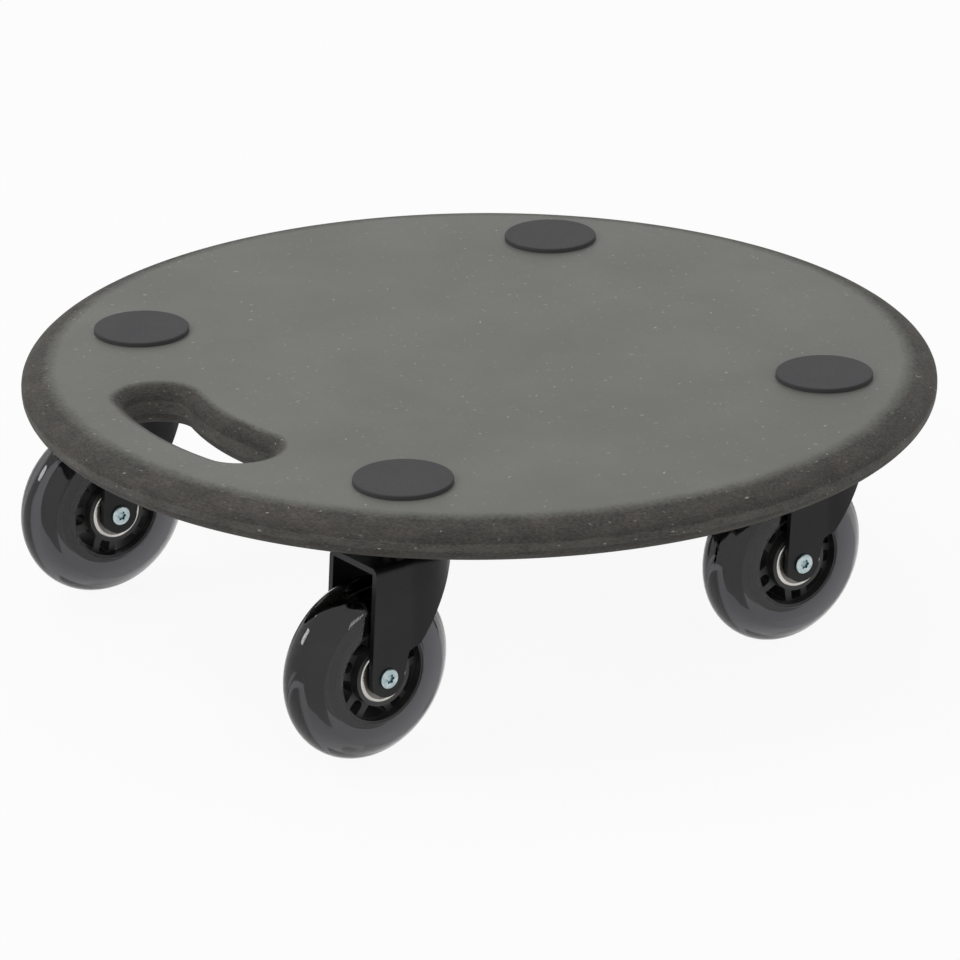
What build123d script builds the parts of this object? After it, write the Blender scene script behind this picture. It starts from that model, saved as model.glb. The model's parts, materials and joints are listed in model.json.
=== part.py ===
from build123d import *
import os
from collections import namedtuple
from math import acos, atan2, cos, hypot, radians, sin

# Round plant caddy: a routed board with a hand slot, four grip pads on top
# and four swivel casters with inline skate wheels underneath.
# The floor is z = 0, the origin lies under the centre of the board, and the
# hand slot is on the -Y side, which is called the front.

os.makedirs("parts", exist_ok=True)

# Board
board_diameter = 380.0
board_thickness = 18.0
rim_inset = 16.0  # how far in from the edge the rounding starts
rim_land = 1.5  # narrow band left standing between the two roundings
rim_drop = 7.5  # height of the rounding above that band

# Hand slot, bent round the centre of the board
slot_path_radius = 140.0
slot_half_angle = 13.6
slot_width = 26.4
slot_rounding = 7.0

# Grip pads, stuck on the board by hand: distance from its centre and direction of each
pad_diameter = 40.0
pad_thickness = 2.0
pad_rounding = 0.6
pad_places = {
    "front_left": (145.0, -135.6),
    "front_right": (145.5, -45.4),
    "back_right": (144.5, 45.0),
    "back_left": (148.0, 134.2),
}

# Casters: where they stand and how they swivel
caster_circle_radius = 145.0
trail = 21.3  # the axle stands this far from the swivel axis
Caster = namedtuple("Caster", "direction swivel roll")
casters = {  # direction from the centre, turn of the fork and turn of the wheel, in degrees
    "front_left": Caster(-135, 0, 40),
    "front_right": Caster(-45, 4.5, 13.5),
    "back_right": Caster(45, 0, 62),
    "back_left": Caster(135, 0, 25),
}

# Top plate and its screws
plate_side = 52.0
plate_thickness = 2.5
plate_corner = 8.0
plate_hole_clearance = 0.3
plate_screw_spacing = 38.0
screw_radius = 2.0
screw_grip = 12.0  # length inside the board
screw_tip = 1.6
screw_head_radius = 3.7
screw_head_height = 2.2
screw_head_rounding = 1.2
screw_recess_length = 3.6
screw_recess_width = 0.9
screw_recess_depth = 1.2

# Swivel: kingpin and two rings of balls
swivel_gap = 5.5  # from the plate down to the crown of the fork
dish_radius = 15.5
dish_bore_radius = 8.5
dish_depth = 1.9
dish_rounding = 0.95
kingpin_radius = 4.0
kingpin_head_radius = 6.2
kingpin_head_height = 1.8
swivel_fit = 0.05
upper_ball_radius = 2.0
upper_ball_circle = 12.0
upper_ball_count = 14
lower_ball_radius = 1.6
lower_ball_circle = 7.6
lower_ball_count = 11
ball_fit = 0.04
lower_ball_bite = 0.15  # how deep each lower ball sits in its grooves
kingpin_flange_radius = 10.0
kingpin_flange_thickness = 2.2
kingpin_flange_chamfer = 0.73

# Fork
sheet = 2.5
fork_wheel_gap = 0.75  # between the wheel and each leg
wheel_top_gap = 6.5  # from the wheel up to the crown, with room for the kingpin's flange
crown_flare = 1.75  # the round back stands out this far beyond the legs
crown_blend = 12.0
crown_bend = 3.2
leg_tip_radius = 8.0
leg_top_reach = 5.0  # the front edge leans back to this far ahead of the axle
leg_waist_reach = 10.4
leg_waist_rise = 8.7
skirt_foot_reach = 15.4
skirt_foot_rise = 10.9
skirt_top_reach = 11.8  # behind the swivel axis
skirt_top_depth = 7.6
leg_waist_rounding = 1.6
skirt_foot_rounding = 5.0
skirt_top_rounding = 4.0

# Wheel
wheel_diameter = 76.0
wheel_width = 24.0
wheel_opening_radius = 20.4
sidewall_radius = 29.0
crown_arc_radius = 9.3
shoulder_bulge = 0.25
tyre_edge_rounding = 0.5
hoop_thickness = 1.2
hoop_recess = 0.9
key_height = 3.4  # rib on the hoop that locks the tyre
key_half_width = 4.5
boss_wall = 1.8
boss_recess = 0.2
web_half_width = 7.5
spoke_width = 3.0
spoke_pairs = 5
spoke_hole_width = 4.7
web_fillet = 0.2  # stands between each hole and the boss or hoop
spoke_corner = 0.7

# Bearings, two in each wheel
bearing_bore_radius = 4.0
bearing_outer_radius = 11.0
bearing_width = 7.0
bearing_centre_spacing = 10.3  # length of the spacer between the two
inner_ring_wall = 2.0
ring_chamfer = 0.35
bearing_ball_radius = 1.98
bearing_ball_bite = 0.43  # how deep each ball sits in the grooves
bearing_ball_count = 7
seal_thickness = 0.8
seal_recess = 0.25
seal_seat_height = 0.6
seal_running_gap = 0.3
hub_shoulder_height = 1.6

# Axle
washer_inset = 0.4  # the washers stay this far inside the inner rings' edge
axle_screw_radius = 2.5
axle_screw_hole_clearance = 0.1
axle_screw_length = 10.0
axle_head_radius = 4.1
axle_head_height = 1.2
axle_head_chamfer = 0.35
axle_recess_radius = 1.6
axle_lobe_radius = 0.45
axle_lobe_count = 6
axle_recess_depth = 0.8

# Heights and places that follow from the sizes above
board_radius = board_diameter / 2
board_bottom = wheel_diameter + wheel_top_gap + sheet + swivel_gap + plate_thickness
board_top = board_bottom + board_thickness
flat_radius = board_radius - rim_inset
ridge_top = board_top - rim_drop
ridge_bottom = ridge_top - rim_land
plate_bottom = board_bottom - plate_thickness
crown_top = plate_bottom - swivel_gap
crown_bottom = crown_top - sheet
dish_bottom = plate_bottom - dish_depth
upper_ball_height = (dish_bottom + crown_top) / 2
lower_ball_height = crown_bottom - lower_ball_radius + lower_ball_bite
flange_top = lower_ball_height - lower_ball_radius + lower_ball_bite
flange_bottom = flange_top - kingpin_flange_thickness
wheel_radius = wheel_diameter / 2
wheel_half_width = wheel_width / 2
leg_inside = wheel_half_width + fork_wheel_gap
leg_outside = leg_inside + sheet
crown_radius = leg_outside + crown_flare
hoop_inner_radius = wheel_opening_radius - hoop_thickness
bearing_inner_end = bearing_centre_spacing / 2
bearing_middle = bearing_inner_end + bearing_width / 2
bearing_outer_end = bearing_inner_end + bearing_width
inner_ring_land = bearing_bore_radius + inner_ring_wall
bearing_ball_circle = inner_ring_land + bearing_ball_radius - bearing_ball_bite
outer_ring_land = bearing_ball_circle + bearing_ball_radius - bearing_ball_bite
seal_outer_radius = outer_ring_land + seal_seat_height
hub_shoulder_radius = bearing_outer_radius - hub_shoulder_height
boss_radius = bearing_outer_radius + boss_wall
washer_radius = inner_ring_land - washer_inset
sides = (-1, 1)


# One STEP file for each piece, under its own name
def save(piece, label):
    piece.part.label = label
    export_step(piece.part, f"parts/{label}.step")


# Where a caster's swivel axis stands, from its direction
def swivel_point(caster):
    direction = radians(caster.direction)
    return caster_circle_radius * cos(direction), caster_circle_radius * sin(direction)


# A level plane on the swivel axis of a caster, turned to face away from the centre
def radial_plane(caster, height):
    x, y = swivel_point(caster)
    direction = radians(caster.direction)
    return Plane(origin=(x, y, height), x_dir=(cos(direction), sin(direction), 0))


# A level plane on the swivel axis, turned with the fork: local x runs along the axle
def fork_plane(caster, height):
    x, y = swivel_point(caster)
    return Plane(origin=(x, y, height), x_dir=axle_direction(caster))


# Upright plane through the swivel axis, for profiles turned about it
def swivel_profile_plane(caster):
    x, y = swivel_point(caster)
    return Plane(origin=(x, y, 0), x_dir=(1, 0, 0), z_dir=(0, -1, 0))


def swivel_axis(caster):
    x, y = swivel_point(caster)
    return Axis((x, y, 0), (0, 0, 1))


def axle_direction(caster):
    return cos(radians(caster.swivel)), sin(radians(caster.swivel)), 0


# The way from the swivel axis to the axle
def ahead_direction(caster):
    return sin(radians(caster.swivel)), -cos(radians(caster.swivel)), 0


# Centre of a wheel, straight ahead of its swivel axis
def wheel_centre(caster):
    x, y = swivel_point(caster)
    ahead_x, ahead_y, _ = ahead_direction(caster)
    return Vector(x + trail * ahead_x, y + trail * ahead_y, wheel_radius)


# Plane for profiles turned about the axle: local x runs along it, local y is the radius
def wheel_profile_plane(caster):
    return Plane(
        origin=wheel_centre(caster), x_dir=axle_direction(caster), z_dir=ahead_direction(caster)
    )


# Plane seen from the side of a wheel, moved along the axle: local x runs back, local y up
def wheel_side_plane(caster, along):
    axle = Vector(axle_direction(caster))
    return Plane(
        origin=wheel_centre(caster) + axle * along, x_dir=-Vector(ahead_direction(caster)), z_dir=axle
    )


def axle_axis(caster):
    return Axis(wheel_centre(caster), axle_direction(caster))


def make_board():
    with BuildPart() as board:
        with BuildSketch(Plane.XZ):
            with BuildLine():
                Line((0, board_bottom), (flat_radius, board_bottom))
                EllipticalCenterArc(
                    (flat_radius, ridge_bottom), rim_inset, ridge_bottom - board_bottom, 270, arc_size=90
                )
                Line((board_radius, ridge_bottom), (board_radius, ridge_top))
                EllipticalCenterArc((flat_radius, ridge_top), rim_inset, rim_drop, 0, arc_size=90)
                Line((flat_radius, board_top), (0, board_top))
                Line((0, board_top), (0, board_bottom))
            make_face()
        revolve(axis=Axis.Z)
        with BuildSketch(Plane.XY.offset(board_bottom)):
            path = CenterArc(
                (0, 0), slot_path_radius, -90 - slot_half_angle, 2 * slot_half_angle, mode=Mode.PRIVATE
            )
            SlotArc(path, slot_width)
        extrude(amount=board_thickness, mode=Mode.SUBTRACT)
        faces = board.faces().sort_by(Axis.Z)
        slot_edges = faces[0].inner_wires().edges() + faces[-1].inner_wires().edges()
        fillet(slot_edges, slot_rounding)
        for caster in casters.values():
            with BuildSketch(radial_plane(caster, board_bottom)):
                with GridLocations(plate_screw_spacing, plate_screw_spacing, 2, 2):
                    Circle(screw_radius)
            extrude(amount=screw_grip, mode=Mode.SUBTRACT)
    save(board, "board")


def make_pad(name, distance, direction):
    with BuildPart() as pad:
        with BuildSketch(Plane.XY.offset(board_top)):
            with PolarLocations(distance, 1, start_angle=direction):
                Circle(pad_diameter / 2)
        extrude(amount=pad_thickness)
        fillet(pad.edges().group_by(Axis.Z)[-1], pad_rounding)
    save(pad, f"{name}_pad")


def make_mounting_screws():
    with BuildPart() as mounting_screws:
        for caster in casters.values():
            with BuildSketch(radial_plane(caster, plate_bottom - screw_head_height)):
                with GridLocations(plate_screw_spacing, plate_screw_spacing, 2, 2):
                    Circle(screw_head_radius)
            extrude(amount=screw_head_height)
        fillet(mounting_screws.edges().group_by(Axis.Z)[0], screw_head_rounding)
        for caster in casters.values():
            with BuildSketch(radial_plane(caster, plate_bottom)):
                with GridLocations(plate_screw_spacing, plate_screw_spacing, 2, 2):
                    Circle(screw_radius)
            extrude(amount=plate_thickness + screw_grip)
        chamfer(mounting_screws.edges().group_by(Axis.Z)[-1], screw_tip)
        for caster in casters.values():
            with BuildSketch(radial_plane(caster, plate_bottom - screw_head_height)):
                with GridLocations(plate_screw_spacing, plate_screw_spacing, 2, 2):
                    Rectangle(screw_recess_length, screw_recess_width)
                    Rectangle(screw_recess_width, screw_recess_length)
            extrude(amount=screw_recess_depth, mode=Mode.SUBTRACT)
    save(mounting_screws, "mounting_screws")


def make_top_plate(name, caster):
    with BuildPart() as top_plate:
        with BuildSketch(radial_plane(caster, plate_bottom)):
            RectangleRounded(plate_side, plate_side, plate_corner)
            with GridLocations(plate_screw_spacing, plate_screw_spacing, 2, 2):
                Circle(screw_radius + plate_hole_clearance, mode=Mode.SUBTRACT)
        extrude(amount=plate_thickness)
        with BuildSketch(radial_plane(caster, dish_bottom)):
            Circle(dish_radius)
        extrude(amount=dish_depth)
        fillet(top_plate.edges().group_by(Axis.Z)[0], dish_rounding)
        with BuildSketch(radial_plane(caster, dish_bottom)):
            Circle(dish_bore_radius)
        extrude(amount=dish_depth, mode=Mode.SUBTRACT)
        with BuildSketch(swivel_profile_plane(caster)):
            kingpin_head_outline()
        revolve(axis=swivel_axis(caster), mode=Mode.SUBTRACT)
        with Locations(radial_plane(caster, upper_ball_height)):
            Torus(upper_ball_circle, upper_ball_radius + ball_fit, mode=Mode.SUBTRACT)
    save(top_plate, f"{name}_top_plate")


# Upper end of the kingpin, let into the plate so that it lies flush under the board
def kingpin_head_outline():
    Polygon(
        (0, board_bottom),
        (kingpin_head_radius, board_bottom),
        (kingpin_radius, board_bottom - kingpin_head_height),
        (kingpin_radius, plate_bottom),
        (0, plate_bottom),
        align=None,
    )


def make_kingpin(name, caster):
    with BuildPart() as kingpin:
        with BuildSketch(swivel_profile_plane(caster)):
            kingpin_head_outline()
            Polygon(
                (0, plate_bottom),
                (kingpin_radius, plate_bottom),
                (kingpin_radius, flange_top),
                (kingpin_flange_radius, flange_top),
                (kingpin_flange_radius, flange_bottom),
                (0, flange_bottom),
                align=None,
            )
        revolve(axis=swivel_axis(caster))
        with Locations(radial_plane(caster, lower_ball_height)):
            Torus(lower_ball_circle, lower_ball_radius + ball_fit, mode=Mode.SUBTRACT)
        chamfer(kingpin.edges().group_by(Axis.Z)[0], kingpin_flange_chamfer)
    save(kingpin, f"{name}_kingpin")


def make_swivel_balls(name, caster):
    with BuildPart() as swivel_balls:
        with Locations(radial_plane(caster, upper_ball_height)):
            with PolarLocations(upper_ball_circle, upper_ball_count):
                Sphere(upper_ball_radius)
        with Locations(radial_plane(caster, lower_ball_height)):
            with PolarLocations(lower_ball_circle, lower_ball_count):
                Sphere(lower_ball_radius)
    save(swivel_balls, f"{name}_swivel_balls")


# Outline of the fork from above, drawn in by an amount: two straight legs run into a round back
def fork_plan(inset):
    length = trail + wheel_radius
    Circle(crown_radius - inset)
    with Locations((0, -length / 2)):
        Rectangle(2 * (leg_outside - inset), length)


def make_fork(name, caster):
    x, y = swivel_point(caster)
    with BuildPart() as fork:
        with BuildSketch(fork_plane(caster, crown_top)) as outside:
            fork_plan(0)
            fillet(outside.vertices().group_by(Axis.Y)[1], crown_blend)
        extrude(amount=-crown_top)
        top_edges = fork.edges().group_by(Axis.Z)[-1]
        fillet(top_edges.sort_by_distance((x, y, crown_top))[:-1], crown_bend)  # the open front stays sharp
        with BuildSketch(fork_plane(caster, crown_bottom)) as inside:
            fork_plan(sheet)
            fillet(inside.vertices().group_by(Axis.Y)[1], crown_blend + sheet)
        extrude(amount=-crown_bottom, mode=Mode.SUBTRACT)
        with BuildSketch(wheel_side_plane(caster, 0)) as side:
            fork_side_outline(side)
        extrude(amount=crown_radius, both=True, mode=Mode.INTERSECT)
        with BuildSketch(fork_plane(caster, crown_bottom)):
            Circle(kingpin_radius + swivel_fit)
        extrude(amount=sheet, mode=Mode.SUBTRACT)
        with Locations((x, y, upper_ball_height)):
            Torus(upper_ball_circle, upper_ball_radius + ball_fit, mode=Mode.SUBTRACT)
        with Locations((x, y, lower_ball_height)):
            Torus(lower_ball_circle, lower_ball_radius + ball_fit, mode=Mode.SUBTRACT)
        with BuildSketch(wheel_side_plane(caster, 0)):
            Circle(axle_screw_radius + axle_screw_hole_clearance)
        extrude(amount=leg_outside, both=True, mode=Mode.SUBTRACT)
    save(fork, f"{name}_fork")


# Outline of the fork from the side: round leg ends, a slanting rear edge and a shallow rim behind
def fork_side_outline(side):
    crown_rise = crown_top - wheel_radius
    skirt_rise = crown_rise - skirt_top_depth
    back = trail + crown_radius
    Polygon(
        (-leg_tip_radius, 0),
        (-leg_top_reach, crown_rise),
        (back, crown_rise),
        (back, skirt_rise),
        (trail + skirt_top_reach, skirt_rise),
        (skirt_foot_reach, skirt_foot_rise),
        (leg_waist_reach, leg_waist_rise),
        (leg_tip_radius, 0),
        align=None,
    )
    waist = side.vertices().sort_by_distance((leg_waist_reach, leg_waist_rise))[0]
    fillet(waist, leg_waist_rounding)
    foot = side.vertices().sort_by_distance((skirt_foot_reach, skirt_foot_rise))[0]
    fillet(foot, skirt_foot_rounding)
    skirt_top = side.vertices().sort_by_distance((trail + skirt_top_reach, skirt_rise))[0]
    fillet(skirt_top, skirt_top_rounding)
    Circle(leg_tip_radius)


# Tube, washer or ring on the axle, between two places along it
def axle_ring(caster, start, end, inner_radius, outer_radius):
    length = end - start
    with Locations(wheel_side_plane(caster, (start + end) / 2)):
        Cylinder(outer_radius, length)
        Cylinder(inner_radius, length, mode=Mode.SUBTRACT)


def make_axle_sleeve(name, caster):
    with BuildPart() as axle_sleeve:
        axle_ring(caster, -leg_inside, leg_inside, axle_screw_radius, bearing_bore_radius)
    save(axle_sleeve, f"{name}_axle_sleeve")


def make_axle_spacers(name, caster):
    with BuildPart() as axle_spacers:
        axle_ring(caster, -bearing_inner_end, bearing_inner_end, bearing_bore_radius, washer_radius)
        axle_ring(caster, -leg_inside, -bearing_outer_end, bearing_bore_radius, washer_radius)
        axle_ring(caster, bearing_outer_end, leg_inside, bearing_bore_radius, washer_radius)
    save(axle_spacers, f"{name}_axle_spacers")


def make_axle_screws(name, caster):
    tip = leg_outside - axle_screw_length
    head_end = leg_outside + axle_head_height
    with BuildPart() as axle_screws:
        for side in sides:
            with BuildSketch(wheel_profile_plane(caster)):
                with BuildLine():
                    Polyline(
                        (side * tip, 0),
                        (side * tip, axle_screw_radius),
                        (side * leg_outside, axle_screw_radius),
                        (side * leg_outside, axle_head_radius),
                        (side * (head_end - axle_head_chamfer), axle_head_radius),
                        (side * head_end, axle_head_radius - axle_head_chamfer),
                        (side * head_end, 0),
                        close=True,
                    )
                make_face()
            revolve(axis=axle_axis(caster))
            with BuildSketch(wheel_side_plane(caster, side * head_end)):
                Circle(axle_recess_radius)
                with PolarLocations(axle_recess_radius, axle_lobe_count):
                    Circle(axle_lobe_radius)
            extrude(amount=-side * axle_recess_depth, mode=Mode.SUBTRACT)
    save(axle_screws, f"{name}_axle_screws")


def make_bearing_outer_rings(name, caster):
    seal_seat = seal_recess + seal_thickness
    with BuildPart() as outer_rings:
        for side in sides:
            inner_end = side * bearing_inner_end
            outer_end = side * bearing_outer_end
            with BuildSketch(wheel_profile_plane(caster)):
                with BuildLine():
                    Polyline(
                        (inner_end, bearing_outer_radius - ring_chamfer),
                        (inner_end + side * ring_chamfer, bearing_outer_radius),
                        (outer_end - side * ring_chamfer, bearing_outer_radius),
                        (outer_end, bearing_outer_radius - ring_chamfer),
                        (outer_end, seal_outer_radius),
                        (outer_end - side * seal_seat, seal_outer_radius),
                        (outer_end - side * seal_seat, outer_ring_land),
                        (inner_end + side * seal_seat, outer_ring_land),
                        (inner_end + side * seal_seat, seal_outer_radius),
                        (inner_end, seal_outer_radius),
                        close=True,
                    )
                make_face()
                with Locations((side * bearing_middle, bearing_ball_circle)):
                    Circle(bearing_ball_radius + ball_fit, mode=Mode.SUBTRACT)
            revolve(axis=axle_axis(caster))
    save(outer_rings, f"{name}_bearing_outer_rings")


def make_bearing_inner_rings(name, caster):
    with BuildPart() as inner_rings:
        for side in sides:
            inner_end = side * bearing_inner_end
            outer_end = side * bearing_outer_end
            with BuildSketch(wheel_profile_plane(caster)):
                with BuildLine():
                    Polyline(
                        (inner_end, bearing_bore_radius),
                        (inner_end, inner_ring_land - ring_chamfer),
                        (inner_end + side * ring_chamfer, inner_ring_land),
                        (outer_end - side * ring_chamfer, inner_ring_land),
                        (outer_end, inner_ring_land - ring_chamfer),
                        (outer_end, bearing_bore_radius),
                        close=True,
                    )
                make_face()
                with Locations((side * bearing_middle, bearing_ball_circle)):
                    Circle(bearing_ball_radius + ball_fit, mode=Mode.SUBTRACT)
            revolve(axis=axle_axis(caster))
    save(inner_rings, f"{name}_bearing_inner_rings")


def make_bearing_balls(name, caster):
    with BuildPart() as bearing_balls:
        for side in sides:
            with Locations(wheel_side_plane(caster, side * bearing_middle)):
                with PolarLocations(bearing_ball_circle, bearing_ball_count):
                    Sphere(bearing_ball_radius)
    save(bearing_balls, f"{name}_bearing_balls")


def make_bearing_seals(name, caster):
    inner_radius = inner_ring_land + seal_running_gap
    with BuildPart() as bearing_seals:
        for side in sides:
            faces = (
                bearing_inner_end + seal_recess,
                bearing_outer_end - seal_recess - seal_thickness,
            )
            for face in faces:
                ends = sorted((side * face, side * (face + seal_thickness)))
                axle_ring(caster, *ends, inner_radius, seal_outer_radius)
    save(bearing_seals, f"{name}_bearing_seals")


# Hub of a wheel: boss, hoop and web are turned as one piece, then the web is cut open
def make_wheel_core(name, caster):
    hoop_half_width = wheel_half_width - hoop_recess
    boss_half_width = wheel_half_width - boss_recess
    hole_start = boss_radius + web_fillet
    hole_end = hoop_inner_radius - web_fillet
    bar_width = spoke_hole_width + 2 * spoke_width
    with BuildPart() as wheel_core:
        with BuildSketch(wheel_profile_plane(caster)):
            with Locations((0, (hoop_inner_radius + wheel_opening_radius) / 2)):
                Rectangle(2 * hoop_half_width, hoop_thickness)
            with Locations((0, wheel_opening_radius + key_height / 2)):
                Rectangle(2 * key_half_width, key_height)
            with Locations((0, (bearing_outer_radius + boss_radius) / 2)):
                Rectangle(2 * boss_half_width, boss_radius - bearing_outer_radius)
            with Locations((0, (hub_shoulder_radius + bearing_outer_radius) / 2)):
                Rectangle(2 * bearing_inner_end, bearing_outer_radius - hub_shoulder_radius)
            with Locations((0, (boss_radius + hoop_inner_radius) / 2)):
                Rectangle(2 * web_half_width, hoop_inner_radius - boss_radius)
        revolve(axis=axle_axis(caster))
        with BuildSketch(wheel_side_plane(caster, -web_half_width)) as wide_holes:
            Circle(hole_end)
            Circle(hole_start, mode=Mode.SUBTRACT)
            with PolarLocations(bearing_outer_radius, spoke_pairs, start_angle=caster.roll):
                Rectangle(
                    hole_end, bar_width, align=(Align.MIN, Align.CENTER), mode=Mode.SUBTRACT
                )
            fillet(wide_holes.vertices(), spoke_corner)
        extrude(amount=2 * web_half_width, mode=Mode.SUBTRACT)
        with BuildSketch(wheel_side_plane(caster, -web_half_width)) as narrow_holes:
            with PolarLocations(hole_start + spoke_hole_width / 2, spoke_pairs, start_angle=caster.roll):
                Circle(spoke_hole_width / 2)
                Rectangle(hole_end, spoke_hole_width, align=(Align.MIN, Align.CENTER))
            Circle(hole_end, mode=Mode.INTERSECT)
            corners_at_hoop = narrow_holes.vertices().sort_by_distance((0, 0))[-2 * spoke_pairs :]
            fillet(corners_at_hoop, spoke_corner)
        extrude(amount=2 * web_half_width, mode=Mode.SUBTRACT)
    save(wheel_core, f"{name}_wheel_core")


# The tyre's outline: a flat sidewall, a slanting shoulder and a round tread
def make_tyre(name, caster):
    tread_centre = wheel_radius - crown_arc_radius
    rise = sidewall_radius - tread_centre
    reach = hypot(wheel_half_width, rise)
    touch = atan2(rise, wheel_half_width) + acos(crown_arc_radius / reach)
    touch_x = crown_arc_radius * cos(touch)
    touch_r = tread_centre + crown_arc_radius * sin(touch)
    middle_x = (touch_x + wheel_half_width) / 2 + shoulder_bulge
    middle_r = (touch_r + sidewall_radius) / 2 + shoulder_bulge
    with BuildPart() as tyre:
        with BuildSketch(wheel_profile_plane(caster)):
            with BuildLine():
                Polyline(
                    (wheel_half_width, sidewall_radius),
                    (wheel_half_width, wheel_opening_radius),
                    (key_half_width, wheel_opening_radius),
                    (key_half_width, wheel_opening_radius + key_height),
                    (-key_half_width, wheel_opening_radius + key_height),
                    (-key_half_width, wheel_opening_radius),
                    (-wheel_half_width, wheel_opening_radius),
                    (-wheel_half_width, sidewall_radius),
                )
                ThreePointArc(
                    (-wheel_half_width, sidewall_radius), (-middle_x, middle_r), (-touch_x, touch_r)
                )
                ThreePointArc((-touch_x, touch_r), (0, wheel_radius), (touch_x, touch_r))
                ThreePointArc(
                    (touch_x, touch_r), (middle_x, middle_r), (wheel_half_width, sidewall_radius)
                )
            make_face()
        revolve(axis=axle_axis(caster))
        rims = tyre.edges().filter_by(is_sidewall_edge(caster))
        fillet(rims, tyre_edge_rounding)
    save(tyre, f"{name}_tyre")


# Test for the round edges of the sidewalls, by how far along the axle they lie
def is_sidewall_edge(caster):
    centre = wheel_centre(caster)
    axle = Vector(axle_direction(caster))
    return lambda edge: (
        abs(abs((edge.center() - centre).dot(axle)) - wheel_half_width) < tyre_edge_rounding
    )


make_board()
make_mounting_screws()
for name, (distance, direction) in pad_places.items():
    make_pad(name, distance, direction)
for name, caster in casters.items():
    make_top_plate(name, caster)
    make_kingpin(name, caster)
    make_swivel_balls(name, caster)
    make_fork(name, caster)
    make_axle_sleeve(name, caster)
    make_axle_spacers(name, caster)
    make_axle_screws(name, caster)
    make_bearing_outer_rings(name, caster)
    make_bearing_inner_rings(name, caster)
    make_bearing_balls(name, caster)
    make_bearing_seals(name, caster)
    make_wheel_core(name, caster)
    make_tyre(name, caster)
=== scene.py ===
import bmesh
import bpy
import json
from math import acos, atan2, cos, hypot, pi, radians, sin
from mathutils import Matrix, Vector


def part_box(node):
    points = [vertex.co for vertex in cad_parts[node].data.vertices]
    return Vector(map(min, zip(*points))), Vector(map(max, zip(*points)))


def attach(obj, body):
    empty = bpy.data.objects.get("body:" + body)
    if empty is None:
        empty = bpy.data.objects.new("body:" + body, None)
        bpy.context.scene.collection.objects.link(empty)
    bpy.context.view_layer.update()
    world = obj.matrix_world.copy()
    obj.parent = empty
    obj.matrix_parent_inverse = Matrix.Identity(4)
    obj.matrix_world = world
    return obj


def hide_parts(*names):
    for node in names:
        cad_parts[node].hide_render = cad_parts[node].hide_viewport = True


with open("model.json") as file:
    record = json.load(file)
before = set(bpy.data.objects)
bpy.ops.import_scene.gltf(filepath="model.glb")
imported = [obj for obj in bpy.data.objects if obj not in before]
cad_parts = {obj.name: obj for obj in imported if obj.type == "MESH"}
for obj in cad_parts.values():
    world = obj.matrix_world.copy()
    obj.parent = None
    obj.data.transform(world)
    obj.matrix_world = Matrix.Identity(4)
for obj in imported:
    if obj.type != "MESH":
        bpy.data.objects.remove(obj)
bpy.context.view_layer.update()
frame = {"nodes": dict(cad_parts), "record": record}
corners = ("front_left", "front_right", "back_right", "back_left")
scene = bpy.context.scene
print("frame loaded")


# small helpers for meshes

def newPiece(name, bm, sharpAngle=35):
    bmesh.ops.recalc_face_normals(bm, faces=bm.faces)
    mesh = bpy.data.meshes.new(name)
    bm.to_mesh(mesh)
    bm.free()
    piece = bpy.data.objects.new(name, mesh)
    scene.collection.objects.link(piece)
    mesh.polygons.foreach_set("use_smooth", [True] * len(mesh.polygons))
    mesh.set_sharp_from_angle(angle=radians(sharpAngle))
    return piece


def closeLoop(bm, verts):
    return [bm.edges.new(pair) for pair in zip(verts, verts[1:] + verts[:1])]


def spinOutline(bm, points, steps):
    # turns a closed outline of points (x, radius) about the X axis
    verts = [bm.verts.new((x, 0, r)) for x, r in points]
    geom = verts + closeLoop(bm, verts)
    bmesh.ops.spin(bm, geom=geom, cent=(0, 0, 0), axis=(1, 0, 0), angle=2 * pi, steps=steps, use_merge=True)
    bmesh.ops.remove_doubles(bm, verts=bm.verts, dist=1e-6)


# small helpers for materials; a value may be a plain number, a colour or another node's socket

def setSocket(tree, socket, value):
    if isinstance(value, bpy.types.NodeSocket):
        tree.links.new(value, socket)
    elif socket.type == "RGBA":
        socket.default_value = (*value, 1)
    else:
        socket.default_value = value


def addNode(tree, kind, **values):
    node = tree.nodes.new(kind)
    for key, value in values.items():
        if hasattr(node, key):
            setattr(node, key, value)
        else:
            setSocket(tree, node.inputs[key], value)
    return node


def addStep(tree, kind, operation, values):
    node = addNode(tree, kind, operation=operation)
    for socket, value in zip(node.inputs, values):
        setSocket(tree, socket, value)
    return node.outputs[0]


def addMath(tree, operation, *values):
    return addStep(tree, "ShaderNodeMath", operation, values)


def addVectorMath(tree, operation, *values):
    return addStep(tree, "ShaderNodeVectorMath", operation, values)


def addMix(tree, factor, first, second):
    mix = addNode(tree, "ShaderNodeMix", data_type="RGBA")
    for index, value in ((0, factor), (6, first), (7, second)):  # the sockets of a colour mix
        setSocket(tree, mix.inputs[index], value)
    return mix.outputs[2]


def addRange(tree, value, low, high, outLow=0.0, outHigh=1.0):
    node = addNode(tree, "ShaderNodeMapRange", Value=value)
    for key, number in (("From Min", low), ("From Max", high), ("To Min", outLow), ("To Max", outHigh)):
        node.inputs[key].default_value = number
    return node.outputs["Result"]


def objectCoords(tree):
    return tree.nodes.new("ShaderNodeTexCoord").outputs["Object"]


def newGroup(name, inputs, outputs):
    # every socket is a plain number; the inputs come with their defaults
    group = bpy.data.node_groups.new(name, "ShaderNodeTree")
    for label, value in inputs.items():
        socket = group.interface.new_socket(label, in_out="INPUT", socket_type="NodeSocketFloat")
        socket.default_value = value
    for label in outputs:
        group.interface.new_socket(label, in_out="OUTPUT", socket_type="NodeSocketFloat")
    return group, group.nodes.new("NodeGroupInput"), group.nodes.new("NodeGroupOutput")


def useGroup(tree, group, **values):
    return addNode(tree, "ShaderNodeGroup", node_tree=group, **values)


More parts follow.
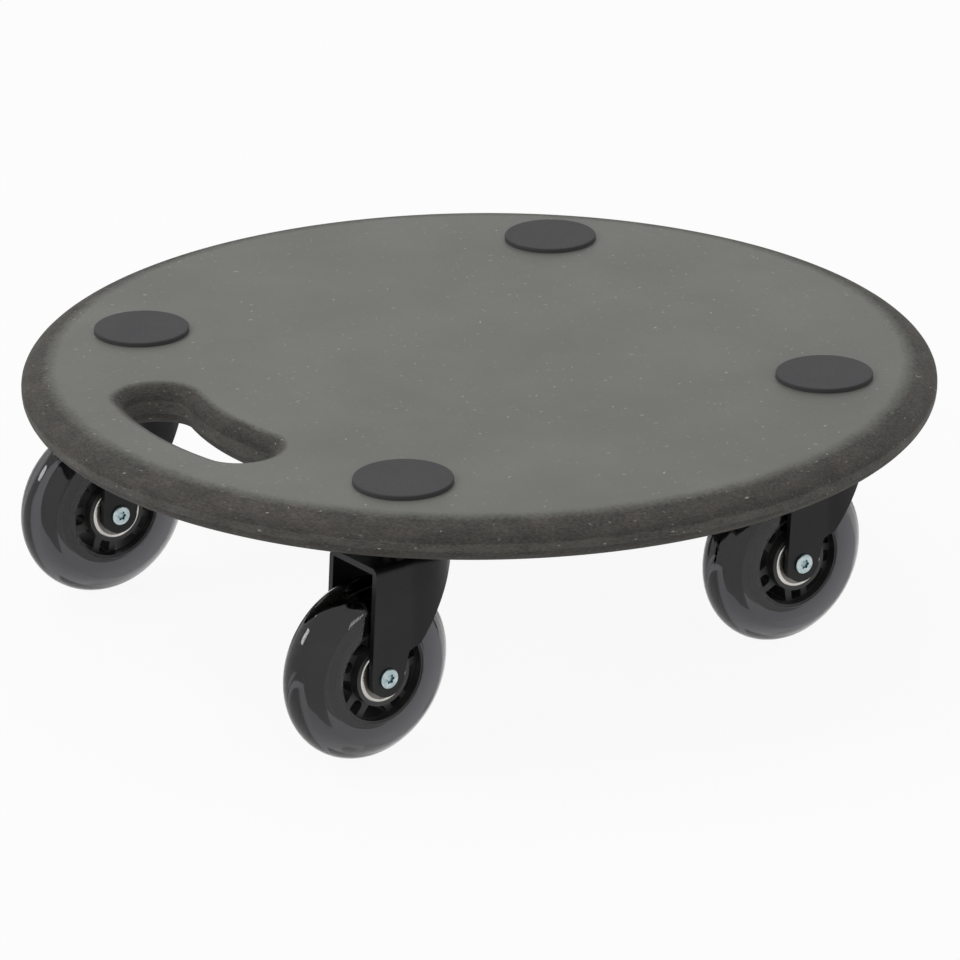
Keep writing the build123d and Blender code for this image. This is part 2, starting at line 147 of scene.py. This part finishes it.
def strongest(tree, masks):
    found = masks[0]
    for mask in masks[1:]:
        found = addMath(tree, "MAXIMUM", found, mask)
    return found


# shared effect: short pale fibres pressed into the surface
def makeFibreGroup():
    group, start, end = newGroup("fibreFlecks", {"Density": 0.06, "Size": 420.0, "Stretch": 3.0}, ["Flecks"])
    coords = objectCoords(group)
    bend = addNode(group, "ShaderNodeTexNoise", Vector=coords, Scale=90.0, Detail=1.0)
    bent = addVectorMath(group, "MULTIPLY_ADD", bend.outputs["Color"], (0.006, 0.006, 0.002), coords)
    narrow = addMath(group, "DIVIDE", 1.0, start.outputs["Stretch"])
    stretch = addNode(group, "ShaderNodeCombineXYZ", X=narrow, Y=1.0, Z=1.0)
    lays = []
    for turn in (20, 85, 150):  # three lays of fibres, each moved off the others
        lay = addNode(group, "ShaderNodeMapping", Vector=bent, Rotation=(0, 0, radians(turn)),
                      Location=(turn * 0.013, turn * 0.007, 0))
        drawn = addVectorMath(group, "MULTIPLY", lay.outputs[0], stretch.outputs[0])
        cells = addNode(group, "ShaderNodeTexVoronoi", Vector=drawn, Scale=start.outputs["Size"])
        near = addRange(group, cells.outputs["Distance"], 0.16, 0.05)  # a soft spot in the middle of a cell
        chance = addNode(group, "ShaderNodeSeparateColor", Color=cells.outputs["Color"])
        picked = addMath(group, "LESS_THAN", chance.outputs[0], start.outputs["Density"])
        fleck = addMath(group, "MULTIPLY", near, picked)
        lays.append(addMath(group, "MULTIPLY", fleck, chance.outputs[1]))
    group.links.new(strongest(group, lays), end.inputs["Flecks"])
    return group


# shared effect: soft cloudy variation and a fine even grain
def makeMottleGroup():
    group, start, end = newGroup("mottle", {"Cloud Size": 18.0, "Grain Size": 1500.0, "Flatten": 1.0},
                                 ["Clouds", "Grain"])
    # a larger Flatten counts heights more, which draws patches out sideways
    flat = addNode(group, "ShaderNodeCombineXYZ", X=1.0, Y=1.0, Z=start.outputs["Flatten"])
    coords = addVectorMath(group, "MULTIPLY", objectCoords(group), flat.outputs[0])
    noises = (("Clouds", "Cloud Size", 4.0, 0.55), ("Grain", "Grain Size", 2.0, 0.6))
    for label, size, detail, roughness in noises:
        noise = addNode(group, "ShaderNodeTexNoise", Vector=coords, Scale=start.outputs[size],
                        Detail=detail, Roughness=roughness)
        group.links.new(noise.outputs[0], end.inputs[label])
    return group


# shared effect: thin random scratches
def makeScratchGroup():
    group, start, end = newGroup("fineScratches", {"Size": 60.0, "Width": 0.02}, ["Scratches"])
    coords = objectCoords(group)
    lays = []
    for turn in (12, 74, 131):
        lay = addNode(group, "ShaderNodeMapping", Vector=coords, Scale=(1, 0.12, 1),
                      Rotation=(radians(turn), radians(turn / 2), radians(turn)))
        cells = addNode(group, "ShaderNodeTexVoronoi", feature="DISTANCE_TO_EDGE", Vector=lay.outputs[0],
                        Scale=start.outputs["Size"])
        lays.append(addMath(group, "LESS_THAN", cells.outputs["Distance"], start.outputs["Width"]))
    group.links.new(strongest(group, lays), end.inputs["Scratches"])
    return group


fibreGroup = makeFibreGroup()
mottleGroup = makeMottleGroup()
scratchGroup = makeScratchGroup()


# small helpers for finishes; sizes of patterns are scales, so a larger one is finer

def newMaterial(name, sockets):
    mat = bpy.data.materials.new(name)
    mat.use_nodes = True
    shader = mat.node_tree.nodes["Principled BSDF"]
    for key, value in sockets.items():
        shader.inputs[key].default_value = value
    return mat, mat.node_tree, shader


def addMottle(tree, cloudSize, grainSize, flatten=1.0):
    sizes = {"Cloud Size": cloudSize, "Grain Size": grainSize, "Flatten": flatten}
    mottle = useGroup(tree, mottleGroup, **sizes)
    return mottle.outputs["Clouds"], mottle.outputs["Grain"]


def spreadRoughness(tree, pattern, finish):
    # roughness that follows a pattern, a little below and above the finish's own
    below, above = finish["spread"]
    return addRange(tree, pattern, 0.3, 0.7, finish["roughness"] - below, finish["roughness"] + above)


def addScratches(tree, rough, finish):
    size, width, strength = finish["scratches"]
    scratches = useGroup(tree, scratchGroup, Size=size, Width=width)
    return addMath(tree, "ADD", rough, addMath(tree, "MULTIPLY", scratches.outputs["Scratches"], strength))


def linkFinish(tree, shader, colour, rough, height, depth):
    bump = addNode(tree, "ShaderNodeBump", Height=height, Distance=depth, Strength=1.0)
    for key, value in (("Base Color", colour), ("Roughness", rough), ("Normal", bump.outputs[0])):
        tree.links.new(value, shader.inputs[key])


boardFinish = {
    "face": (0.147, 0.150, 0.133),
    "faceDark": (0.122, 0.125, 0.110),
    "cloudSize": 16.0,
    "grainSize": 1400.0,
    "faceGrain": 0.12,  # the sealed face keeps this much of its grain
    "routed": (0.102, 0.092, 0.081),
    "routedDark": (0.024, 0.025, 0.022),
    "patchSize": 70.0,
    "patchGrainSize": 620.0,
    "patchGrainShare": 0.62,
    "patchFlatten": 3.0,
    "ragged": 0.16,  # how far the patches move the line between the face and the routed edge
    "fleck": (0.44, 0.43, 0.39),
    "flecks": 0.17,
    "fleckSize": 430.0,
    "fineFlecks": 0.5,
    "fineFleckSize": 560.0,
    "fineFleckStretch": 4.0,
    "fineFleckStrength": 0.3,
    "roughness": 0.5,
    "routedRoughness": 0.8,
    "grainDepth": 0.0005,
    "specular": 0.35,
}


def makeBoardMaterial():
    f = boardFinish
    mat, tree, shader = newMaterial("dyedFibreboard", {"Specular IOR Level": f["specular"]})
    clouds, grain = addMottle(tree, f["cloudSize"], f["grainSize"])
    patchClouds, patchGrain = addMottle(tree, f["patchSize"], f["patchGrainSize"], f["patchFlatten"])
    flecks = useGroup(tree, fibreGroup, Density=f["flecks"], Size=f["fleckSize"])
    fine = useGroup(tree, fibreGroup, Density=f["fineFlecks"], Size=f["fineFleckSize"],
                    Stretch=f["fineFleckStretch"])
    cloudy = addMix(tree, addRange(tree, clouds, 0.35, 0.65), f["faceDark"], f["face"])
    fineShare = addMath(tree, "MULTIPLY", fine.outputs["Flecks"], f["fineFleckStrength"])
    face = addMix(tree, fineShare, cloudy, f["fleck"])
    grainPart = addRange(tree, patchGrain, 0.3, 0.72, 0, f["patchGrainShare"])
    cloudPart = addRange(tree, patchClouds, 0.35, 0.7, 0, 1 - f["patchGrainShare"])
    patches = addMath(tree, "ADD", grainPart, cloudPart)
    routedColour = addMix(tree, patches, f["routedDark"], f["routed"])
    # the routed share, which at the ridge also carries a painted highlight
    routed = addNode(tree, "ShaderNodeAttribute", attribute_name="routed")
    shift = addRange(tree, patches, 0, 1, f["ragged"], -f["ragged"])
    edgeMask = addRange(tree, addMath(tree, "ADD", routed.outputs["Fac"], shift), 0.12, 0.95)
    colour = addMix(tree, flecks.outputs["Flecks"], addMix(tree, edgeMask, face, routedColour), f["fleck"])
    rough = addRange(tree, edgeMask, 0, 1, f["roughness"], f["routedRoughness"])
    faceHeight = addMath(tree, "MULTIPLY", grain, f["faceGrain"])
    height = addMath(tree, "ADD", faceHeight, addMath(tree, "MULTIPLY", patchGrain, edgeMask))
    linkFinish(tree, shader, colour, rough, height, f["grainDepth"])
    return mat


padFinish = {
    "top": (0.066, 0.066, 0.069),
    "dark": (0.052, 0.052, 0.055),
    "cloudSize": 60.0,
    "grainSize": 2200.0,
    "grainDepth": 0.0002,
    "roughness": 0.8,
    "spread": (0.08, 0.08),
    "specular": 0.3,
}


def makePadMaterial():
    f = padFinish
    mat, tree, shader = newMaterial("padRubber", {"Specular IOR Level": f["specular"]})
    clouds, grain = addMottle(tree, f["cloudSize"], f["grainSize"])
    colour = addMix(tree, clouds, f["dark"], f["top"])
    linkFinish(tree, shader, colour, spreadRoughness(tree, grain, f), grain, f["grainDepth"])
    return mat


forkFinish = {
    "paint": (0.010, 0.010, 0.0105),
    "worn": (0.016, 0.016, 0.0165),
    "cloudSize": 45.0,
    "peel": 900.0,
    "peelDepth": 0.00008,
    "scratches": (55.0, 0.004, 0.1),  # size, width, roughness added
    "roughness": 0.36,
    "spread": (0.06, 0.06),
    "specular": 0.24,
}


def makeForkMaterial():
    f = forkFinish
    mat, tree, shader = newMaterial("blackPowderCoat", {"Specular IOR Level": f["specular"]})
    clouds, peel = addMottle(tree, f["cloudSize"], f["peel"])
    colour = addMix(tree, addRange(tree, clouds, 0.4, 0.75), f["paint"], f["worn"])
    rough = addScratches(tree, spreadRoughness(tree, clouds, f), f)
    linkFinish(tree, shader, colour, rough, peel, f["peelDepth"])
    return mat


metalFinish = {
    "cloudSize": 120.0,
    "grainSize": 2500.0,
    "grainDepth": 0.00003,
    "scratches": (240.0, 0.01, 0.12),  # size, width, roughness added
    "spread": (0.05, 0.08),
}
metalColours = {
    "zincPlate": {"light": (0.60, 0.61, 0.62), "dark": (0.46, 0.47, 0.48), "roughness": 0.34},
    "bearingSteel": {"light": (0.62, 0.60, 0.57), "dark": (0.46, 0.44, 0.41), "roughness": 0.16},
    "sealSteel": {"light": (0.20, 0.19, 0.18), "dark": (0.14, 0.135, 0.13), "roughness": 0.35},
}


def makeMetalMaterial(name):
    f = {**metalFinish, **metalColours[name]}
    mat, tree, shader = newMaterial(name, {"Metallic": 1.0})
    clouds, grain = addMottle(tree, f["cloudSize"], f["grainSize"])
    colour = addMix(tree, addRange(tree, clouds, 0.35, 0.65), f["dark"], f["light"])
    rough = addScratches(tree, spreadRoughness(tree, grain, f), f)
    linkFinish(tree, shader, colour, rough, grain, f["grainDepth"])
    return mat


screwFinish = {
    "light": (0.56, 0.63, 0.64),
    "dark": (0.36, 0.46, 0.49),
    # painted shade colour for the recess of the head, and how far the occlusion reaches
    "deep": (0.05, 0.16, 0.19),
    "deepReach": 0.0016,
    "cloudSize": 500.0,
    "grainSize": 2500.0,
    "grainDepth": 0.00003,
    "roughness": 0.3,
    "spread": (0.05, 0.08),
    "metallic": 0.9,
}


# blue zinc with painted shade: it darkens towards teal down in the recess of the head
def makeScrewMaterial():
    f = screwFinish
    mat, tree, shader = newMaterial("blueZinc", {"Metallic": f["metallic"]})
    clouds, grain = addMottle(tree, f["cloudSize"], f["grainSize"])
    plain = addMix(tree, addRange(tree, clouds, 0.35, 0.65), f["dark"], f["light"])
    # painted shade: ambient occlusion darkens the recess of the head towards dark teal
    paintedRecessShade = addNode(tree, "ShaderNodeAmbientOcclusion", samples=8, Distance=f["deepReach"])
    colour = addMix(tree, addRange(tree, paintedRecessShade.outputs["AO"], 0.5, 0.98), f["deep"], plain)
    linkFinish(tree, shader, colour, spreadRoughness(tree, grain, f), grain, f["grainDepth"])
    return mat


coreFinish = {
    "nylon": (0.028, 0.028, 0.028),
    "scuff": (0.052, 0.050, 0.047),
    "cloudSize": 150.0,
    "grainSize": 1800.0,
    "grainDepth": 0.00006,
    "roughness": 0.4,
    "spread": (0.08, 0.1),
    "specular": 0.4,
}


def makeCoreMaterial():
    f = coreFinish
    mat, tree, shader = newMaterial("coreNylon", {"Specular IOR Level": f["specular"]})
    clouds, grain = addMottle(tree, f["cloudSize"], f["grainSize"])
    colour = addMix(tree, addRange(tree, clouds, 0.45, 0.8), f["nylon"], f["scuff"])
    linkFinish(tree, shader, colour, spreadRoughness(tree, clouds, f), grain, f["grainDepth"])
    return mat


tyreFinish = {
    "tint": (0.86, 0.86, 0.87),
    "tintDark": (0.78, 0.78, 0.79),
    "smoke": (0.20, 0.20, 0.225),
    "density": 135.0,
    "cloudSize": 40.0,
    "roughness": 0.05,
    "spread": (0.015, 0.03),
    "ior": 1.5,
}


# clear polyurethane with smoke in it
def makeTyreMaterial():
    f = tyreFinish
    mat, tree, shader = newMaterial("smokyPolyurethane", {"Transmission Weight": 1.0, "IOR": f["ior"]})
    clouds = useGroup(tree, mottleGroup, **{"Cloud Size": f["cloudSize"]}).outputs["Clouds"]
    tree.links.new(addMix(tree, clouds, f["tintDark"], f["tint"]), shader.inputs["Base Color"])
    tree.links.new(spreadRoughness(tree, clouds, f), shader.inputs["Roughness"])
    smoke = addNode(tree, "ShaderNodeVolumeAbsorption", Color=f["smoke"], Density=f["density"])
    tree.links.new(smoke.outputs[0], tree.nodes["Material Output"].inputs["Volume"])
    return mat


materials = {
    "board": makeBoardMaterial(),
    "pad": makePadMaterial(),
    "black_steel": makeForkMaterial(),
    "zinc": makeMetalMaterial("zincPlate"),
    "blue_zinc": makeScrewMaterial(),
    "bearing_steel": makeMetalMaterial("bearingSteel"),
    "seal": makeMetalMaterial("sealSteel"),
    "tyre": makeTyreMaterial(),
    "core": makeCoreMaterial(),
}
slotOf = {part["node"]: part["material_slot"] for part in frame["record"]["subparts"]}
for name, node in frame["nodes"].items():
    node.data.materials.clear()
    node.data.materials.append(materials[slotOf[name]])
print("materials done")


# the board: an edge swept round the rim, another round the slot, and two flat faces between them

boardPiece = {
    "rimInset": 0.016,
    "rimDrop": 0.0075,
    "ridge": 0.0015,
    "rimSteps": 256,
    "profileSteps": 12,
    "slotPathRadius": 0.140,
    "slotHalfAngle": 13.6,
    "slotWidth": 0.0264,
    "slotRounding": 0.007,
    "slotEndSteps": 20,
    "slotSideSteps": 28,
    "collar": 0.0008,  # a narrow flat strip that keeps the shading of the rounding off the face
    "ridgeHighlightShare": 0.7,  # how routed the ridge looks between the two roundings; below full, so the ridge is painted lighter, a painted highlight along the ridge
}


def routedShare(i, steps):
    # full from a third of the way over a rounding
    return min(1, 3 * i / steps)


def edgeProfile(inset, top, ridgeTop, ridgeBottom, bottom):
    # over the edge from the top face to the bottom one, as (distance in, height, how routed); at the ridge
    # the share is lowered for a painted highlight
    b = boardPiece
    steps = b["profileSteps"]
    turns = [pi / 2 * i / steps for i in range(steps + 1)]
    rise, drop = top - ridgeTop, ridgeBottom - bottom
    upper = [(inset * (1 - sin(t)), ridgeTop + rise * cos(t), routedShare(i, steps))
             for i, t in enumerate(turns)]
    lower = [(inset * (1 - cos(t)), ridgeBottom - drop * sin(t), routedShare(steps - i, steps))
             for i, t in enumerate(turns)]
    # the ridge verts get a lower share, so the ridge is painted lighter: a painted highlight
    for side, i in ((upper, -1), (lower, 0), (lower, 1)):
        side[i] = (*side[i][:2], b["ridgeHighlightShare"])
    flat = inset + b["collar"]
    return [(flat, top, 0), *upper, *lower, (flat, bottom, 0)]


def orderLike(old, fresh):
    # new verts of an extrusion, in the order of the verts that they were made from
    index = {tuple(round(c, 7) for c in v.co): v for v in fresh}
    return [index[tuple(round(c, 7) for c in v.co)] for v in old]


def sweepEdge(bm, routed, verts, loop, ring, profile):
    # carries the profile round a ring of (point, direction into the wood); gives its two end loops
    firstLoop = loop
    for step, (inset, height, share) in enumerate(profile):
        if step:
            grown = bmesh.ops.extrude_edge_only(bm, edges=loop)["geom"]
            loop = [g for g in grown if isinstance(g, bmesh.types.BMEdge)]
            verts = orderLike(verts, [g for g in grown if isinstance(g, bmesh.types.BMVert)])
        for v, (point, inward) in zip(verts, ring):
            v.co = point + inward * inset + Vector((0, 0, height))
            v[routed] = share
    return firstLoop, loop


def armAt(angle):
    return Vector((cos(radians(angle)), sin(radians(angle)), 0))


def slotRing():
    # once round the slot's bent outline, as (point, direction into the wood)
    b = boardPiece
    half, sides, ends = b["slotHalfAngle"], b["slotSideSteps"], b["slotEndSteps"]
    lines = []
    for way, first in ((1, 0), (-1, 180)):  # along the outer side and back along the inner one
        for i in range(sides):
            out = armAt(-90 + way * (2 * half * i / sides - half))
            lines.append((out, out * way))
        end = -90 + way * half
        for i in range(ends):
            lines.append((armAt(end), armAt(end + first + 180 * i / ends)))
    reach = b["slotWidth"] / 2
    return [(out * b["slotPathRadius"] + inward * reach, inward) for out, inward in lines]


def makeBoard():
    b = boardPiece
    low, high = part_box("board")
    top, bottom = high.z, low.z
    outer = min(high.x, high.y, -low.x, -low.y)
    bm = bmesh.new()
    routed = bm.verts.layers.float.new("routed")

    verts = bmesh.ops.create_circle(bm, segments=b["rimSteps"], radius=outer)["verts"]
    ring = [(v.co.normalized() * outer, -v.co.normalized()) for v in verts]
    ridgeTop = top - b["rimDrop"]
    profile = edgeProfile(b["rimInset"], top, ridgeTop, ridgeTop - b["ridge"], bottom)
    rimLoops = sweepEdge(bm, routed, verts, list(bm.edges), ring, profile)

    ring = slotRing()
    verts = [bm.verts.new(point) for point, inward in ring]
    rounding = b["slotRounding"]
    profile = edgeProfile(rounding, top, top - rounding, bottom + rounding, bottom)
    slotLoops = sweepEdge(bm, routed, verts, closeLoop(bm, verts), ring, profile)

    for rimLoop, slotLoop in zip(rimLoops, slotLoops):
        bmesh.ops.triangle_fill(bm, edges=rimLoop + slotLoop, use_beauty=True)
    return newPiece("boardShaped", bm)


board = makeBoard()
board.data.materials.append(materials["board"])
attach(board, "board")
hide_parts("board")
print("board done")


# the tyres: one outline turned about the axle

tyrePiece = {
    "halfWidth": 0.012,
    "openingRadius": 0.0204,
    "sidewallRadius": 0.029,
    "treadArcRadius": 0.0093,
    "shoulderBulge": 0.00025,
    "keyHeight": 0.0034,
    "keyHalfWidth": 0.0045,
    "bite": 0.0001,  # sits this deep in the core, so that no air shows between them
    "edgeRounding": 0.00035,
    "edgeSegments": 4,
    "shoulderSteps": 6,
    "treadSteps": 14,
    "spinSteps": 192,
}


def arcThrough(first, middle, last, steps):
    # points on the circle through three points, both ends left out
    (ax, ay), (bx, by), (cx, cy) = first, middle, last
    a, b, c = ax**2 + ay**2, bx**2 + by**2, cx**2 + cy**2
    d = 2 * (ax * (by - cy) + bx * (cy - ay) + cx * (ay - by))
    ux = (a * (by - cy) + b * (cy - ay) + c * (ay - by)) / d
    uy = (a * (cx - bx) + b * (ax - cx) + c * (bx - ax)) / d
    radius = hypot(ax - ux, ay - uy)
    start, end = atan2(ay - uy, ax - ux), atan2(cy - uy, cx - ux)
    turns = [start + (end - start) * i / steps for i in range(1, steps)]
    return [(ux + radius * cos(turn), uy + radius * sin(turn)) for turn in turns]


def tyreOutline(radius):
    # closed outline as (x, radius): the key in the core, the side wall, the shoulder and the tread's arc
    t = tyrePiece
    arc, wall, bulge = t["treadArcRadius"], (t["halfWidth"], t["sidewallRadius"]), t["shoulderBulge"]
    treadCentre = radius - arc
    rise = wall[1] - treadCentre
    # a line from the side wall's end touches the tread's arc here
    turn = atan2(rise, wall[0]) + acos(arc / hypot(wall[0], rise))
    touch = (arc * cos(turn), treadCentre + arc * sin(turn))
    middle = ((touch[0] + wall[0]) / 2 + bulge, (touch[1] + wall[1]) / 2 + bulge)
    inner = t["openingRadius"] - t["bite"]
    keyHalf = t["keyHalfWidth"] - t["bite"]
    half = [(keyHalf, inner + t["keyHeight"]), (keyHalf, inner), (wall[0], inner), wall]
    half += arcThrough(wall, middle, touch, t["shoulderSteps"])
    for i in range(t["treadSteps"]):
        a = turn + (pi / 2 - turn) * i / t["treadSteps"]
        half.append((arc * cos(a), treadCentre + arc * sin(a)))
    return half + [(0, radius)] + [(-x, r) for x, r in reversed(half)]


def axleDirection(corner):
    # the wheel joint's own axis
    for joint in frame["record"]["behaviour"]["joints"]:
        if joint["name"] == f"{corner}_wheel_spin":
            return Vector(joint["axis"]).normalized()


def makeTyre(corner):
    t = tyrePiece
    low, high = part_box(f"{corner}_tyre")
    middle = (low + high) / 2
    bm = bmesh.new()
    spinOutline(bm, tyreOutline(middle.z - low.z), t["spinSteps"])
    rings = [  # the sharp circles of both side walls
        e for e in bm.edges
        if all(abs(abs(v.co.x) - t["halfWidth"]) < 1e-6 for v in e.verts)
        and abs(hypot(*e.verts[0].co.yz) - hypot(*e.verts[1].co.yz)) < 1e-6
    ]
    bmesh.ops.bevel(bm, geom=rings, offset=t["edgeRounding"], segments=t["edgeSegments"], profile=0.5,
                    affect="EDGES", material=-1)
    axle = axleDirection(corner)
    turn = Matrix.Rotation(atan2(axle.y, axle.x), 4, "Z")
    bmesh.ops.transform(bm, matrix=Matrix.Translation(middle) @ turn, verts=bm.verts)
    tyre = newPiece(f"{corner}_tyreShaped", bm, sharpAngle=50)
    tyre.data.materials.append(materials["tyre"])
    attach(tyre, f"{corner}_wheel")
    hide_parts(f"{corner}_tyre")


for corner in corners:
    makeTyre(corner)
print("tyres done")


# stage, light and camera

stagePiece = {
    "floor": 0.85,
    "floorReach": 6,
    "whiteShare": 0.93,  # how much of the floor seen by the camera is plain white; the rest keeps the shadow
    "worldStrength": 0.42,
}


def seenRays(tree):
    # 1 for rays from the camera, mirrors and glass, 0 for rays that light the object
    path = tree.nodes.new("ShaderNodeLightPath")
    return strongest(tree, [path.outputs[f"Is {kind} Ray"] for kind in ("Camera", "Glossy", "Transmission")])


def mixShaders(tree, factor, first, second):
    mix = addNode(tree, "ShaderNodeMixShader")
    for socket, value in zip(mix.inputs, (factor, first.outputs[0], second.outputs[0])):
        tree.links.new(value, socket)
    return mix


def makeStage():
    p = stagePiece
    mat, tree, shader = newMaterial("floorWhite", {})
    tree.nodes.remove(shader)
    plain = addNode(tree, "ShaderNodeBsdfDiffuse", Color=(p["floor"],) * 3)
    white = addNode(tree, "ShaderNodeEmission")
    clear = addNode(tree, "ShaderNodeBsdfTransparent")  # seen from below, the floor is left out
    above = mixShaders(tree, addMath(tree, "MULTIPLY", seenRays(tree), p["whiteShare"]), plain, white)
    fromBelow = addNode(tree, "ShaderNodeNewGeometry").outputs["Backfacing"]
    both = mixShaders(tree, fromBelow, above, clear)
    tree.links.new(both.outputs[0], tree.nodes["Material Output"].inputs["Surface"])
    bm = bmesh.new()
    bmesh.ops.create_grid(bm, x_segments=1, y_segments=1, size=p["floorReach"])
    floor = newPiece("floorSheet", bm)
    floor.data.materials.append(mat)


def makeWorld():
    world = bpy.data.worlds.new("softRoom")
    world.use_nodes = True
    scene.world = world
    tree = world.node_tree
    background = tree.nodes["Background"]
    background.inputs["Color"].default_value = (1, 1, 1, 1)
    strength = addRange(tree, seenRays(tree), 0, 1, stagePiece["worldStrength"], 1.0)
    tree.links.new(strength, background.inputs["Strength"])


lampPieces = {
    "overhead": {"place": (-0.5, 0.5, 2.6), "power": 11, "size": 1.8},
    "leftBox": {"place": (-0.6, -2.3, 1.5), "power": 15, "size": 0.75},
    "leftHigh": {"place": (-1.2, -1.2, 2.3), "power": 9, "size": 0.6},
    "rightBox": {"place": (2.4, 0.4, 1.2), "power": 5, "size": 0.7},
}


def addLamp(name, place, power, size):
    # a soft box that faces the middle of the object
    lamp = bpy.data.lights.new(name, "AREA")
    lamp.size = size
    lamp.energy = power
    light = bpy.data.objects.new(name, lamp)
    scene.collection.objects.link(light)
    light.location = place
    light.rotation_euler = (-Vector(place)).to_track_quat("-Z", "Y").to_euler()


cameraPiece = {
    "azimuth": 56.53,
    "elevation": 21.8,
    "roll": -0.4,
    "distance": 2.32,
    "aim": 0.0546,  # height above the floor that it looks at
    "lens": 207.6,
    "sensor": 36.0,
}


def makeCamera():
    c = cameraPiece
    azimuth, elevation, roll = (radians(c[k]) for k in ("azimuth", "elevation", "roll"))
    back = Vector((sin(azimuth) * cos(elevation), -cos(azimuth) * cos(elevation), sin(elevation)))
    across = Vector((cos(azimuth), sin(azimuth), 0))
    up = back.cross(across)
    right = across * cos(roll) + up * sin(roll)
    upward = up * cos(roll) - across * sin(roll)
    data = bpy.data.cameras.new("photoCamera")
    data.sensor_width = c["sensor"]
    data.lens = c["lens"]
    camera = bpy.data.objects.new("photoCamera", data)
    scene.collection.objects.link(camera)
    turn = Matrix((right, upward, back)).transposed().to_4x4()
    camera.matrix_world = Matrix.Translation(Vector((0, 0, c["aim"])) + back * c["distance"]) @ turn
    scene.camera = camera


makeStage()
makeWorld()
for name, lamp in lampPieces.items():
    addLamp(name, **lamp)
makeCamera()
scene.view_settings.view_transform = "Standard"
print("stage done")
